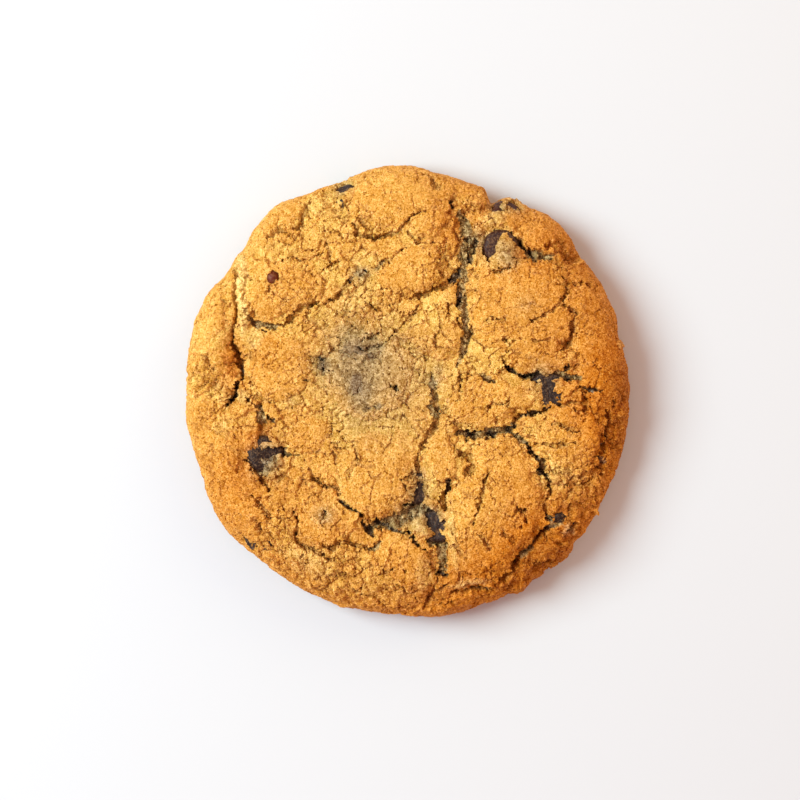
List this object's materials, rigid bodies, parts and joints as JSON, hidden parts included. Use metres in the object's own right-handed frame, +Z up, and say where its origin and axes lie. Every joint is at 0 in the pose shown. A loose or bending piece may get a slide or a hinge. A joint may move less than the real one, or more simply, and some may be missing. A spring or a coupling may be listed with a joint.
{
  "type": "chocolate chip cookie",
  "caption": "Round soft-baked cookie with a cracked golden crust and dark chocolate chips showing in the cracks and at the rim.",
  "frame": {"origin": "middle of the flat foot, on the surface the cookie rests on", "axes": "+Z up out of the cracked face, across the thickness; +X and +Y lie in the resting plane, with the long black-bottomed crack that holds two chips towards -Y"},
  "size_m": [0.0903, 0.0912, 0.0141],
  "materials": {
    "crust": "baked golden-brown crust, matt and sandy, with paler crumb in the cracks",
    "chocolate": "dark chocolate, satin with a faint greyish bloom"
  },
  "bodies": {
    "root": {"dough": "crust", "chip_upper_right": "chocolate", "chip_right": "chocolate", "chip_lower_inner": "chocolate", "chip_lower_outer": "chocolate", "chip_left": "chocolate", "chip_top_rim": "chocolate", "chip_upper_left": "chocolate", "chip_lower_right_rim": "chocolate", "chip_lower_left": "chocolate", "chip_top_right_rim": "chocolate", "chip_lower_left_rim": "chocolate", "chip_upper_valley": "chocolate"}
  },
  "joints": []
}
